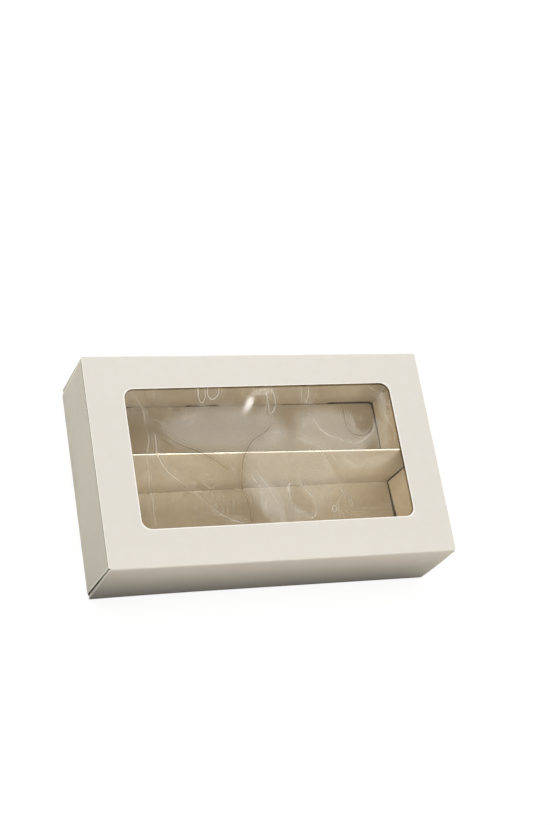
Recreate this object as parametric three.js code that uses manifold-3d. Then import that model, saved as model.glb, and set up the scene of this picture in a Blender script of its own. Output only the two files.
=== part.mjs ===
// Windowed macaron box: a folded white carton with a clear window in its top, a tuck-in panel
// at each end, and a folded card tray inside whose ridged divider keeps two rows apart.
// Millimetres. +X runs along the box, +Y to its back, +Z up. The origin is on the ground at the middle.
import * as THREE from "three";
import { mergeVertices } from "three/addons/utils/BufferGeometryUtils.js";
import Module from "manifold-3d";

const wasm = await Module();
wasm.setup();

// Outer size of the closed carton, its card and the air left between separate pieces
const LENGTH = 200;
const WIDTH = 121;
const HEIGHT = 47;
const CARD = 0.5;
const GAP = 0.3;
const FOLD_RADIUS = 1;
const ARC_STEPS = 5;

// How far a cutting shape reaches past what it cuts
const MARGIN = 1;

// Window in the top panel, a little behind the middle, and the film glued under it
const WINDOW = { length: 158, width: 80.6, radius: 5.5, x: 0, y: 1.3 };
const FILM_THICKNESS = 0.2;
const FILM_OVERLAP = 9;

// Dust flaps: folded in from the front and back walls behind each end panel. The shoulder is the
// short piece beside the fold where the flap is still nearly as high as the wall
const DUST_FLAP = { length: 38, outset: 99, foldRadius: 0.8, top: 43, bottom: 1.6, slope: 2.5, corner: 6 };
const DUST_FLAP_SHOULDER = { length: 0.2, top: 45.8, bottom: 0.8 };

// End panels: each turns on the crease along the bottom edge and carries a tuck at its top
const END_PANEL_INSET = 0.4;
const TUCK = { length: 10, slope: 6, foldRadius: 0.9, inset: 1.8, corner: 5 };

// Tray: its floor, its walls that lean out by this much for each millimetre they rise, and the
// divider folded up along its middle, whose ridge leans back
const TRAY = { floorLength: 178.6, floorWidth: 95.8, wallTop: 44.5, lean: 0.12 };
const DIVIDER = { footHalfWidth: 3.5, ridgeHalfWidth: 0.5, ridgeShift: 1.45, top: 45.6, hollowShare: 0.92 };

// End flaps of the tray: how far their free edges and their corners stand out past the floor's
// end, the air under them, and the slit between the front and back ones
const FRONT_FLAPS = { free: 0.7, corner: 2.5 };
const BACK_FLAPS = { free: 0.4, corner: 0.4 };
const FLAP_LIFT = 0.3;
const FLAP_SLIT = 1;
const TUCK_RELIEF = { from: 87.5, height: 44 };

const innerTop = HEIGHT - CARD;
const wallEnd = DUST_FLAP.outset - DUST_FLAP.foldRadius;
const sleeveEnd = LENGTH / 2 - 2 * CARD - GAP;
const trayBottom = CARD + GAP;
const trayFloor = trayBottom + CARD;

// Points of a circle's arc about (x, y), angles in degrees
function arc(x, y, radius, from, to, steps = ARC_STEPS) {
  const points = [];
  for (let i = 0; i <= steps; i += 1) {
    const angle = THREE.MathUtils.degToRad(from + ((to - from) * i) / steps);
    points.push([x + radius * Math.cos(angle), y + radius * Math.sin(angle)]);
  }
  return points;
}

// Rectangle from (x0, y0) to (x1, y1) with its corners rounded
function roundedRectangle(x0, y0, x1, y1, radius) {
  return [
    ...arc(x1 - radius, y1 - radius, radius, 0, 90),
    ...arc(x0 + radius, y1 - radius, radius, 90, 180),
    ...arc(x0 + radius, y0 + radius, radius, 180, 270),
    ...arc(x1 - radius, y0 + radius, radius, 270, 360),
  ];
}

const asVectors = (points) => points.map(([x, y]) => new THREE.Vector2(x, y));

// A closed solid from a geometry whose shared corners are merged
function solidOf(geometry) {
  const bare = geometry.clone();
  bare.deleteAttribute("normal");
  bare.deleteAttribute("uv");
  const merged = mergeVertices(bare, 1e-4);
  return new wasm.Manifold(
    new wasm.Mesh({
      numProp: 3,
      vertProperties: merged.attributes.position.array,
      triVerts: new Uint32Array(merged.index.array),
    }),
  );
}

// Outline carried from one depth to another, then laid into the box's frame
function prism(outline, from, to, basis, holes = []) {
  const shape = new THREE.Shape(asVectors(outline));
  shape.holes = holes.map((hole) => new THREE.Path(asVectors(hole)));
  const geometry = new THREE.ExtrudeGeometry(shape, { depth: to - from, bevelEnabled: false });
  geometry.translate(0, 0, from);
  geometry.applyMatrix4(basis);
  return solidOf(geometry);
}

const AXIS = {
  x: new THREE.Vector3(1, 0, 0),
  y: new THREE.Vector3(0, 1, 0),
  z: new THREE.Vector3(0, 0, 1),
};
const ALONG_X = new THREE.Matrix4().makeBasis(AXIS.y, AXIS.z, AXIS.x);
const ALONG_Y = new THREE.Matrix4().makeBasis(AXIS.z, AXIS.x, AXIS.y);
const ALONG_Z = new THREE.Matrix4().makeBasis(AXIS.x, AXIS.y, AXIS.z);

// Outlines in (y, z) run along X, outlines in (z, x) run along Y, outlines in (x, y) run up Z
const alongX = (outline, from, to, holes) => prism(outline, from, to, ALONG_X, holes);
const alongY = (outline, from, to) => prism(outline, from, to, ALONG_Y);
const alongZ = (outline, from, to) => prism(outline, from, to, ALONG_Z);

function block(low, high) {
  const corners = [
    [low[0], low[1]],
    [high[0], low[1]],
    [high[0], high[1]],
    [low[0], high[1]],
  ];
  return alongZ(corners, low[2], high[2]);
}

const joined = (solids) => solids.reduce((whole, solid) => whole.add(solid));

// Everything past the given x at one end of the box, between two heights
function endBlock(end, from, zLow, zHigh) {
  const [near, far] = [end * from, end * LENGTH].sort((a, b) => a - b);
  return block([near, -WIDTH, zLow], [far, WIDTH, zHigh]);
}

// Carton sleeve: bottom, front, top and back panels as one folded ring, the vertical walls
// ending short of the dust flap folds and the top reaching out over the end panels
function sleeve() {
  const half = WIDTH / 2;
  const outer = roundedRectangle(-half, 0, half, HEIGHT, FOLD_RADIUS);
  const inner = roundedRectangle(-half + CARD, CARD, half - CARD, innerTop, FOLD_RADIUS - CARD);
  const ring = alongX(outer, -wallEnd, wallEnd, [inner]);
  const longRing = alongX(outer, -sleeveEnd, sleeveEnd, [inner]);
  const topLayer = block([-LENGTH, -WIDTH, HEIGHT - FOLD_RADIUS], [LENGTH, WIDTH, HEIGHT + MARGIN]);
  const bottomLayer = block([-LENGTH, -WIDTH, -MARGIN], [LENGTH, WIDTH, FOLD_RADIUS]);
  const lip = block(
    [-LENGTH / 2, -half + FOLD_RADIUS, innerTop],
    [LENGTH / 2, half - FOLD_RADIUS, HEIGHT],
  );
  return joined([ring, longRing.intersect(topLayer), longRing.intersect(bottomLayer), lip]);
}

// One dust flap with its fold. end is -1 at the left and 1 at the right, side is -1 at the front
// wall and 1 at the back wall, and the outlines are those of the front left one
function dustFlap(end, side) {
  const half = WIDTH / 2;
  const { length, outset, foldRadius, top, bottom, slope, corner } = DUST_FLAP;
  const bendX = -outset + foldRadius;
  const bendY = -half + foldRadius;
  const flapEnd = -half + length;
  const plan = [
    ...arc(bendX, bendY, foldRadius, 270, 180),
    [-outset, flapEnd],
    [-outset + CARD, flapEnd],
    ...arc(bendX, bendY, foldRadius - CARD, 180, 270),
    [bendX + FOLD_RADIUS, -half + CARD],
    [bendX + FOLD_RADIUS, -half],
  ];
  const shoulder = -half + foldRadius + DUST_FLAP_SHOULDER.length;
  const face = [
    [-half - MARGIN, DUST_FLAP_SHOULDER.bottom],
    [shoulder, DUST_FLAP_SHOULDER.bottom],
    [shoulder + slope, bottom],
    ...arc(flapEnd - corner, bottom + corner, corner, 270, 360),
    ...arc(flapEnd - corner, top - corner, corner, 0, 90),
    [shoulder + slope, top],
    [shoulder, DUST_FLAP_SHOULDER.top],
    [-half - MARGIN, DUST_FLAP_SHOULDER.top],
  ];
  const placedPlan = plan.map(([x, y]) => [-end * x, -side * y]);
  const placedFace = face.map(([y, z]) => [-side * y, z]);
  return alongZ(placedPlan, 0, HEIGHT).intersect(alongX(placedFace, -LENGTH, LENGTH));
}

function windowOpening() {
  const outline = roundedRectangle(
    WINDOW.x - WINDOW.length / 2,
    WINDOW.y - WINDOW.width / 2,
    WINDOW.x + WINDOW.length / 2,
    WINDOW.y + WINDOW.width / 2,
    WINDOW.radius,
  );
  return alongZ(outline, innerTop - MARGIN, HEIGHT + MARGIN);
}

function carton() {
  const flaps = [-1, 1].flatMap((end) => [-1, 1].map((side) => dustFlap(end, side)));
  return joined([sleeve(), ...flaps]).subtract(windowOpening());
}

// End panel at the left: a round heel on the crease, the upright face, a round fold at its top
// and the tuck that slopes down into the box under the top panel
function endPanel() {
  const half = WIDTH / 2;
  const face = -LENGTH / 2;
  const top = innerTop - GAP;
  const { length, slope, foldRadius, inset, corner } = TUCK;
  const foldX = face + foldRadius;
  const foldZ = top - foldRadius;
  const fold = (radius) => arc(foldZ, foldX, radius, 270, 360 + slope);
  const tuckEnd = (radius) => {
    const [[z, x]] = arc(foldZ, foldX, radius, slope, slope, 1);
    const angle = THREE.MathUtils.degToRad(slope);
    return [z - length * Math.sin(angle), x + length * Math.cos(angle)];
  };
  const profile = [
    ...arc(CARD, face + CARD, CARD, 180, 270),
    ...fold(foldRadius),
    tuckEnd(foldRadius),
    tuckEnd(foldRadius - CARD),
    ...fold(foldRadius - CARD).reverse(),
    [CARD, face + CARD],
  ];
  const panelHalf = half - END_PANEL_INSET;
  const tuckHalf = half - inset;
  const tip = foldX + length * Math.cos(THREE.MathUtils.degToRad(slope));
  const plan = [
    [face - MARGIN, -panelHalf],
    [face + CARD, -panelHalf],
    [foldX, -tuckHalf],
    ...arc(tip - corner, -tuckHalf + corner, corner, 270, 360),
    ...arc(tip - corner, tuckHalf - corner, corner, 0, 90),
    [foldX, tuckHalf],
    [face + CARD, panelHalf],
    [face - MARGIN, panelHalf],
  ];
  return alongY(profile, -half, half).intersect(alongZ(plan, -MARGIN, HEIGHT));
}

function windowFilm() {
  const top = innerTop - GAP;
  return block(
    [
      WINDOW.x - WINDOW.length / 2 - FILM_OVERLAP,
      WINDOW.y - WINDOW.width / 2 - FILM_OVERLAP,
      top - FILM_THICKNESS,
    ],
    [WINDOW.x + WINDOW.length / 2 + FILM_OVERLAP, WINDOW.y + WINDOW.width / 2 + FILM_OVERLAP, top],
  );
}

// Solid between two outlines with as many corners, one at each height
function loft(lower, upper, zLower, zUpper) {
  const count = lower.length;
  const positions = [];
  lower.forEach(([x, y]) => positions.push(x, y, zLower));
  upper.forEach(([x, y]) => positions.push(x, y, zUpper));
  const index = [];
  for (let i = 0; i < count; i += 1) {
    const next = (i + 1) % count;
    index.push(i, next, count + next, i, count + next, count + i);
  }
  THREE.ShapeUtils.triangulateShape(asVectors(lower), []).forEach(([a, b, c]) => {
    index.push(a, c, b, count + a, count + b, count + c);
  });
  const geometry = new THREE.BufferGeometry();
  geometry.setAttribute("position", new THREE.Float32BufferAttribute(positions, 3));
  geometry.setIndex(index);
  return solidOf(geometry);
}

// Plan at height z of one long tray wall with an end flap at each end. side is 1 at the back and
// -1 at the front
function trayWallPlan(z, side, flaps) {
  const lean = TRAY.lean * (z - trayFloor);
  const wall = TRAY.floorWidth / 2 + lean;
  const floorEnd = TRAY.floorLength / 2 + lean;
  const middle = FLAP_SLIT / 2;
  const right = [
    [floorEnd + flaps.free, middle],
    [floorEnd + flaps.corner, wall],
  ];
  const rightOuter = [
    [floorEnd + flaps.corner + CARD, wall + CARD],
    [floorEnd + flaps.free + CARD, middle],
  ];
  const flip = ([x, y]) => [-x, y];
  const plan = [
    ...right,
    ...right.map(flip).reverse(),
    ...rightOuter.map(flip).reverse(),
    ...rightOuter,
  ];
  const placed = plan.map(([x, y]) => [x, WINDOW.y + side * y]);
  return side > 0 ? placed.reverse() : placed;
}

function trayWall(side, flaps) {
  const [lower, upper] = [trayBottom, TRAY.wallTop].map((z) => trayWallPlan(z, side, flaps));
  return loft(lower, upper, trayBottom, TRAY.wallTop);
}

// Floor and divider: one sheet whose middle is folded up into a narrow ridge, open below
function trayFloorAndDivider() {
  const { footHalfWidth, ridgeHalfWidth, ridgeShift, top, hollowShare } = DIVIDER;
  const ridgeZ = top - ridgeHalfWidth;
  const edge = TRAY.floorWidth / 2 + CARD / 2;
  const crease = footHalfWidth - CARD;
  const outline = [
    [-edge, trayBottom],
    [-crease, trayBottom],
    [ridgeShift * hollowShare, trayFloor + (ridgeZ - trayFloor) * hollowShare],
    [crease, trayBottom],
    [edge, trayBottom],
    [edge, trayFloor],
    [footHalfWidth, trayFloor],
    ...arc(ridgeShift, ridgeZ, ridgeHalfWidth, 0, 180),
    [-footHalfWidth, trayFloor],
    [-edge, trayFloor],
  ];
  const half = TRAY.floorLength / 2;
  const lean = TRAY.lean * (HEIGHT - trayFloor);
  const ends = [
    [0, -half],
    [trayFloor, -half],
    [HEIGHT, -half - lean],
    [HEIGHT, half + lean],
    [trayFloor, half],
    [0, half],
  ];
  const placed = outline.map(([y, z]) => [y + WINDOW.y, z]);
  return alongX(placed, -LENGTH / 2, LENGTH / 2).intersect(alongY(ends, -WIDTH, WIDTH));
}

function tray() {
  const whole = joined([trayFloorAndDivider(), trayWall(1, BACK_FLAPS), trayWall(-1, FRONT_FLAPS)]);
  const cuts = [-1, 1].flatMap((end) => [
    endBlock(end, TRAY.floorLength / 2, -MARGIN, trayFloor + FLAP_LIFT),
    endBlock(end, TUCK_RELIEF.from, TUCK_RELIEF.height, HEIGHT),
  ]);
  return whole.subtract(joined(cuts));
}

const whiteCard = new THREE.MeshStandardMaterial({ color: "#e6e2da", roughness: 0.75, metalness: 0 });
const trayCard = new THREE.MeshStandardMaterial({ color: "#d5cabb", roughness: 0.8, metalness: 0 });
const clearFilm = new THREE.MeshStandardMaterial({
  color: "#f3f1ec",
  roughness: 0.08,
  metalness: 0,
  transparent: true,
  opacity: 0.25,
});

function meshOf(name, solid, material) {
  const { vertProperties, triVerts } = solid.getMesh();
  const geometry = new THREE.BufferGeometry();
  geometry.setAttribute("position", new THREE.BufferAttribute(vertProperties, 3));
  geometry.setIndex(new THREE.BufferAttribute(triVerts, 1));
  geometry.computeVertexNormals();
  const mesh = new THREE.Mesh(geometry, material);
  mesh.name = name;
  return mesh;
}

const box = new THREE.Group();
const leftPanel = meshOf("end_panel_left", endPanel(), whiteCard);
const rightPanel = meshOf("end_panel_right", endPanel(), whiteCard);
rightPanel.rotation.z = Math.PI;
box.add(
  meshOf("carton", carton(), whiteCard),
  leftPanel,
  rightPanel,
  meshOf("window_film", windowFilm(), clearFilm),
  meshOf("tray", tray(), trayCard),
);

export default box;
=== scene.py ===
"""Looks of the windowed macaron box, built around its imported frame.

The box is folded from thin white card: a sleeve with a window in its top, dust flaps, an end panel
with a tuck at each end, a clear wavy film under the window and a tray whose ridged divider makes
two rows. Each sheet is worked out as a surface and then gets the thickness of its card. Lengths are
millimetres unless a name says otherwise. X runs along the box, Y to its back and Z up.
"""

import logging
import math
from dataclasses import dataclass
from enum import Enum, IntEnum

import bmesh
import bpy
import numpy as np
from mathutils import Matrix, Vector


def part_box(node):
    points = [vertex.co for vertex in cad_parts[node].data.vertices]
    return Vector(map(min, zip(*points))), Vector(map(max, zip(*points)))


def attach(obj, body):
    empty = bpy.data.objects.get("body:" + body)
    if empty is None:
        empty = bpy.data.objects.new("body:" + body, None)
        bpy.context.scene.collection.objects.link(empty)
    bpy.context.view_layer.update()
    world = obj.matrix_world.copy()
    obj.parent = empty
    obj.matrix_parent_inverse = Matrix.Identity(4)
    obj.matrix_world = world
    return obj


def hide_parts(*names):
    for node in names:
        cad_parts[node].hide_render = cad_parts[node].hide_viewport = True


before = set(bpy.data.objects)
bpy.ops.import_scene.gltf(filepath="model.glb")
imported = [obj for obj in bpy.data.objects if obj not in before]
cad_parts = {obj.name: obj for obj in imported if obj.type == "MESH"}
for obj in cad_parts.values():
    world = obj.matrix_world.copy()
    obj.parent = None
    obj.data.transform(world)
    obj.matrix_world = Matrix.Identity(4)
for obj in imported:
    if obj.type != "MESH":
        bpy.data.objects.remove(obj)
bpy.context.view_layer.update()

LOG = logging.getLogger("macaron_box")

Array = np.ndarray
# One millimetre in metres
MM = 0.001
# Points closer than this are one, and edges bent more than this are sharp
MERGE = 0.004
SHARP_EDGE = math.radians(38)
# Lengths under this count as nothing
TINY = 1e-6
# How far the end panels' edges stand in from the long walls' faces, at their foot and their top
END_INSET = (3.15, 1.35)
# Values of the film's points that its material reads
FILM_ATTRIBUTES = ("crease_distance", "crease_strength", "oval_distance", "seam_distance", "veil")
# Setting that makes a rise or fall a soft S instead of a straight line
SOFT = {"interpolation_type": "SMOOTHSTEP"}


class Slot(Enum):
    """Material slots of the record, one named with each piece."""

    WHITE_CARD = "white_card"
    CLEAR_FILM = "clear_film"
    TRAY_CARD = "tray_card"


class End(Enum):
    """The two ends of the box, with the sign of X there."""

    LEFT = -1
    RIGHT = 1


class Side(Enum):
    """The two long sides of the box, with the sign of Y there."""

    FRONT = -1
    BACK = 1


class Layer(IntEnum):
    """Places of a sheet's finishes in its list of materials.

    A sheet's rim takes the finish one place after its face's, and its back the one four places
    after, or the last. EDGE is for cut edges and for faces pressed next to one, whose brightness
    is a painted highlight, and PRESSED for the rim of such faces or for a pressed fold. In the
    tray EDGE holds painted shade, on its cut edges and behind its ridge, and PRESSED the ridge's
    painted highlight. The fourth place is painted shade in the carton's slits and under its folds.
    """

    FACE = 0
    EDGE = 1
    PRESSED = 2
    PAINTED_SLIT_SHADE = 3
    REVERSE = 4


def linear(colour: str) -> tuple[float, float, float, float]:
    """Turns an sRGB colour into the linear one that shaders take.

    Args:
        colour: Six hex digits after a hash sign.

    Returns:
        Red, green and blue from 0 to 1, and an alpha of 1.
    """
    parts = np.array([int(colour[i : i + 2], 16) for i in (1, 3, 5)]) / 255
    values = np.where(parts <= 0.04045, parts / 12.92, ((parts + 0.055) / 1.055) ** 2.4)
    return (*values.tolist(), 1.0)


def add_node(
    tree: bpy.types.NodeTree, kind: str, inputs: dict | None = None, **settings: object
) -> bpy.types.Node:
    """Adds one node with its settings and links.

    Args:
        tree: Node tree that takes the node.
        kind: Blender's name of the node's type, without the prefix that all these nodes share.
        inputs: What each input holds, by its name or place: a value, or the output that feeds it.
        **settings: Values of the node's own properties.

    Returns:
        The node.
    """
    node = tree.nodes.new(f"ShaderNode{kind}")
    for name, value in settings.items():
        setattr(node, name, value)
    for key, value in (inputs or {}).items():
        if isinstance(value, bpy.types.NodeSocket):
            tree.links.new(value, node.inputs[key])
        else:
            node.inputs[key].default_value = value
    return node


def new_material(name: str) -> tuple[bpy.types.Material, bpy.types.NodeTree]:
    """Makes an empty node material.

    Args:
        name: Name of the material.

    Returns:
        The material and its node tree, which holds no nodes yet.
    """
    material = bpy.data.materials.new(name)
    material.use_nodes = True
    material.node_tree.nodes.clear()
    return material, material.node_tree


@dataclass(frozen=True)
class CardFinish:
    """Folding board: pressed from pulp, uncoated, with fine fibres and a soft cloudiness.

    Card scatters light evenly and has hardly any gloss. Its fibres are about 0.1 mm wide, too fine
    to show here, so they are drawn as coarse as fibre_mm. Each noise has its detail and roughness.
    """

    name: str
    colour: str
    cloud_colour: str
    fibre_mm: float = 0.7
    fibre_noise: tuple[float, float] = (4.0, 0.7)
    fibre_share: float = 0.6
    cloud_mm: float = 6.0
    cloud_noise: tuple[float, float] = (3.0, 0.6)
    contrast: tuple[float, float] = (0.34, 0.66)
    roughness: float = 0.72
    roughness_spread: float = 0.06
    ior: float = 1.47
    relief_mm: float = 0.02
    relief_strength: float = 0.6

    def material(self) -> bpy.types.Material:
        """Builds the card's material.

        Returns:
            A Principled material whose colour, roughness and bump follow clouds and fibres.
        """
        material, tree = new_material(self.name)
        place = add_node(tree, "TexCoord").outputs["Object"]
        cloud, fibre = (
            add_node(
                tree,
                "TexNoise",
                {"Vector": place, "Scale": 1 / (size * MM), "Detail": detail, "Roughness": rough},
            ).outputs["Fac"]
            for size, (detail, rough) in (
                (self.cloud_mm, self.cloud_noise),
                (self.fibre_mm, self.fibre_noise),
            )
        )
        blotch = add_node(tree, "Mix", {0: self.fibre_share, 2: cloud, 3: fibre})
        low, high = self.contrast
        spread = add_node(
            tree, "MapRange", {"Value": blotch.outputs[0], "From Min": low, "From Max": high}
        )
        colour = add_node(
            tree,
            "Mix",
            {0: spread.outputs[0], 6: linear(self.cloud_colour), 7: linear(self.colour)},
            data_type="RGBA",
        )
        dull = add_node(
            tree,
            "MapRange",
            {
                "Value": fibre,
                "To Min": self.roughness - self.roughness_spread,
                "To Max": self.roughness + self.roughness_spread,
            },
        )
        relief = {"Strength": self.relief_strength, "Distance": self.relief_mm * MM}
        bump = add_node(tree, "Bump", {"Height": fibre, **relief})
        shader = add_node(
            tree,
            "BsdfPrincipled",
            {
                "IOR": self.ior,
                "Base Color": colour.outputs[2],
                "Roughness": dull.outputs[0],
                "Normal": bump.outputs[0],
            },
        )
        add_node(tree, "OutputMaterial", {"Surface": shader.outputs[0]})
        return material


@dataclass(frozen=True)
class FilmFinish:
    """Clear PET film: smooth and glossy, with milky veils, and pale lines that are painted
    reflections.

    It mirrors a few hundredths of the light square on and more at a glancing look. The pale lines
    of its creases, ovals and contours are painted reflections of the lights in the wavy film, laid
    on as white haze, and its veils are partly haze and partly painted reflection. Its dark creases
    and the band along the window's edge are painted shade, a darker tint of what shows through it.
    Where it is marked comes with the film's own attributes: a veil, the distance to the nearest
    crease, oval and window edge and the crease's strength. A mark shows as a thin line with fainter
    echoes on both sides. Each patch's bounds are the noise where it starts and where it is full.
    The contours' noise has its detail and distortion.
    """

    name: str = "clear_pet_film"
    tint: str = "#fdfcf9"
    painted_shade_tint: str = "#c8bda8"
    haze_and_sheen_colour: str = "#f2efe5"
    ior: float = 1.57
    glancing_power: float = 5.0
    roughness: float = 0.1
    veil_haze_and_sheen: float = 0.15
    line_sheen: float = 0.17
    line_shade: float = 0.55
    line_mm: tuple[float, float] = (0.2, 0.6)
    echo: float = 0.6
    echo_step_mm: float = 1.5
    echo_width: float = 0.3
    echo_reach_mm: tuple[float, float] = (1.0, 6.0)
    contours: float = 40.0
    contour_sheen: float = 0.075
    contour_width: float = 0.25
    contour_mm: float = 42.0
    contour_noise: tuple[float, float] = (1.5, 1.2)
    seam_mm: float = 0.75
    line_patch_mm: float = 16.0
    line_patch: tuple[float, float] = (0.36, 0.56)
    line_least: float = 0.3
    contour_patch_mm: float = 22.4
    contour_patch: tuple[float, float] = (0.42, 0.58)

    def material(self) -> bpy.types.Material:
        """Builds the film's material.

        Returns:
            A material that lets what lies behind it show, with a mirror layer and haze on top.
        """
        material, tree = new_material(self.name)
        crease_gap, strength, oval_gap, seam_gap, veil = (
            add_node(tree, "Attribute", attribute_name=name).outputs["Fac"]
            for name in FILM_ATTRIBUTES
        )
        straight_on = ((self.ior - 1) / (self.ior + 1)) ** 2
        facing = add_node(tree, "LayerWeight", {"Blend": 0.5}).outputs["Facing"]
        steep = add_node(tree, "Math", {0: facing, 1: self.glancing_power}, operation="POWER")
        mirror = add_node(
            tree,
            "Math",
            {0: steep.outputs[0], 1: 1 - straight_on, 2: straight_on},
            operation="MULTIPLY_ADD",
        )
        crease = self._lines(tree, crease_gap)
        # Dark creases and the band along the window's edge are painted shade, a darker tint of the
        # film
        dark = add_node(
            tree, "Math", {0: strength, 1: -self.line_shade}, operation="MULTIPLY", use_clamp=True
        )
        seam = add_node(
            tree, "MapRange", {"Value": seam_gap, "From Min": self.seam_mm, "From Max": 0.0}, **SOFT
        )
        shade = add_node(
            tree,
            "Math",
            {0: crease, 1: dark.outputs[0], 2: seam.outputs[0]},
            operation="MULTIPLY_ADD",
            use_clamp=True,
        )
        tint = add_node(
            tree,
            "Mix",
            {0: shade.outputs[0], 6: linear(self.tint), 7: linear(self.painted_shade_tint)},
            data_type="RGBA",
        )
        clear = add_node(tree, "BsdfTransparent", {"Color": tint.outputs[2]})
        gloss = add_node(tree, "BsdfAnisotropic", {"Roughness": self.roughness})
        glossy_film = add_node(
            tree, "MixShader", {0: mirror.outputs[0], 1: clear.outputs[0], 2: gloss.outputs[0]}
        )
        # The milky layer shows the veils and the pale lines, which are painted reflections
        milk = add_node(tree, "BsdfDiffuse", {"Color": linear(self.haze_and_sheen_colour)})
        haze = self._haze(tree, crease, strength, self._lines(tree, oval_gap), veil)
        film = add_node(
            tree, "MixShader", {0: haze, 1: glossy_film.outputs[0], 2: milk.outputs[0]}
        )
        add_node(tree, "OutputMaterial", {"Surface": film.outputs[0]})
        return material

    def _lines(
        self, tree: bpy.types.NodeTree, distance: bpy.types.NodeSocket
    ) -> bpy.types.NodeSocket:
        """Adds the nodes that turn the distance to a curve into its line and echoes.

        Args:
            tree: Node tree of the film's material.
            distance: Distance to the curve in millimetres, negative inside a closed one.

        Returns:
            Output socket with the strength of the line and its echoes.
        """
        away = add_node(tree, "Math", {0: distance}, operation="ABSOLUTE").outputs[0]
        core, edge = self.line_mm
        line = add_node(
            tree, "MapRange", {"Value": away, "From Min": edge, "From Max": core}, **SOFT
        )
        step = self.echo_step_mm
        ripple = add_node(tree, "Math", {0: away, 1: step / 2}, operation="PINGPONG").outputs[0]
        width = self.echo_width * step
        echo = add_node(
            tree,
            "MapRange",
            {"Value": ripple, "From Min": width, "From Max": 0.0, "To Max": self.echo},
            **SOFT,
        )
        full, end = self.echo_reach_mm
        near = add_node(
            tree, "MapRange", {"Value": away, "From Min": end, "From Max": full}, **SOFT
        )
        both = add_node(
            tree,
            "Math",
            {0: echo.outputs[0], 1: near.outputs[0], 2: line.outputs[0]},
            operation="MULTIPLY_ADD",
        )
        return both.outputs[0]

    def _patch(
        self,
        tree: bpy.types.NodeTree,
        size_mm: float,
        bounds: tuple[float, float],
        least: float = 0.0,
    ) -> bpy.types.NodeSocket:
        """Adds soft patches, from a noise.

        Args:
            tree: Node tree of the film's material.
            size_mm: Size of the patches.
            bounds: Noise below which a place is outside the patches, and above which it is inside.
            least: Result outside the patches.

        Returns:
            Output socket with the result, 1 inside the patches.
        """
        place = add_node(tree, "TexCoord").outputs["Object"]
        patch = add_node(
            tree,
            "TexNoise",
            {"Vector": place, "Scale": 1 / (size_mm * MM), "Detail": 1.0, "Distortion": 1.0},
        )
        low, high = bounds
        shown = add_node(
            tree,
            "MapRange",
            {"Value": patch.outputs["Fac"], "From Min": low, "From Max": high, "To Min": least},
        )
        return shown.outputs[0]

    def _contours(self, tree: bpy.types.NodeTree) -> bpy.types.NodeSocket:
        """Adds fine curved lines of painted reflection as haze: the contours of a broad noise, in
        patches.

        Args:
            tree: Node tree of the film's material.

        Returns:
            Output socket with the haze of the lines.
        """
        place = add_node(tree, "TexCoord").outputs["Object"]
        scale = 1 / (self.contour_mm * MM)
        detail, distortion = self.contour_noise
        relief = add_node(
            tree,
            "TexNoise",
            {"Vector": place, "Scale": scale, "Detail": detail, "Distortion": distortion},
        )
        levels = add_node(
            tree, "Math", {0: relief.outputs["Fac"], 1: self.contours}, operation="MULTIPLY"
        )
        near = add_node(tree, "Math", {0: levels.outputs[0], 1: 0.5}, operation="PINGPONG")
        line = add_node(
            tree,
            "MapRange",
            {
                "Value": near.outputs[0],
                "From Min": self.contour_width,
                "From Max": 0.0,
                "To Max": self.contour_sheen,
            },
            **SOFT,
        )
        patch = self._patch(tree, self.contour_patch_mm, self.contour_patch)
        shown = add_node(tree, "Math", {0: line.outputs[0], 1: patch}, operation="MULTIPLY")
        return shown.outputs[0]

    def _haze(
        self,
        tree: bpy.types.NodeTree,
        crease: bpy.types.NodeSocket,
        strength: bpy.types.NodeSocket,
        ovals: bpy.types.NodeSocket,
        veil: bpy.types.NodeSocket,
    ) -> bpy.types.NodeSocket:
        """Adds the nodes that say how milky the film is, with its veils and painted reflections.

        Args:
            tree: Node tree of the film's material.
            crease: Output socket with the lines of the creases.
            strength: Output socket with the creases' strength, negative for dark ones.
            ovals: Output socket with the lines of the ovals.
            veil: Output socket with the veil.

        Returns:
            Output socket with the share of milky shader.
        """
        pale = add_node(
            tree, "Math", {0: strength, 1: 1.0}, operation="MULTIPLY", use_clamp=True
        )
        lines = add_node(
            tree, "Math", {0: crease, 1: pale.outputs[0], 2: ovals}, operation="MULTIPLY_ADD"
        )
        patch = self._patch(tree, self.line_patch_mm, self.line_patch, self.line_least)
        shown = add_node(tree, "Math", {0: lines.outputs[0], 1: patch}, operation="MULTIPLY")
        marked = add_node(
            tree,
            "Math",
            {0: shown.outputs[0], 1: self.line_sheen, 2: self._contours(tree)},
            operation="MULTIPLY_ADD",
        )
        haze = add_node(
            tree,
            "Math",
            {0: veil, 1: self.veil_haze_and_sheen, 2: marked.outputs[0]},
            operation="MULTIPLY_ADD",
        )
        return haze.outputs[0]


@dataclass(frozen=True)
class FloorFinish:
    """Matt white studio board. Its glow, if it has one, keeps it white right up to the box."""

    name: str
    colour: str
    glow: float = 0.0
    roughness: float = 0.9

    def material(self) -> bpy.types.Material:
        """Builds the floor's material.

        Returns:
            A plain matt material.
        """
        material, tree = new_material(self.name)
        shader = add_node(
            tree,
            "BsdfPrincipled",
            {
                "Base Color": linear(self.colour),
                "Roughness": self.roughness,
                "Emission Color": linear("#ffffff"),
                "Emission Strength": self.glow,
            },
        )
        add_node(tree, "OutputMaterial", {"Surface": shader.outputs[0]})
        return material


# White folding board scatters nearly all light, so the outside reads as a warm off-white
WHITE_CARD = CardFinish("white_folding_board", "#e1dcd3", "#dcd6cc")
# Cut edges show the board's bleached core, brighter than its face; on the bands of face beside
# them and on the folds this brightness is a painted highlight, where the edges catch the light
CUT_EDGE_AND_HIGHLIGHT = CardFinish("cut_edge_and_painted_highlight", "#fcf9f1", "#f6f1e6", roughness=0.8, relief_mm=0.01)
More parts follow.
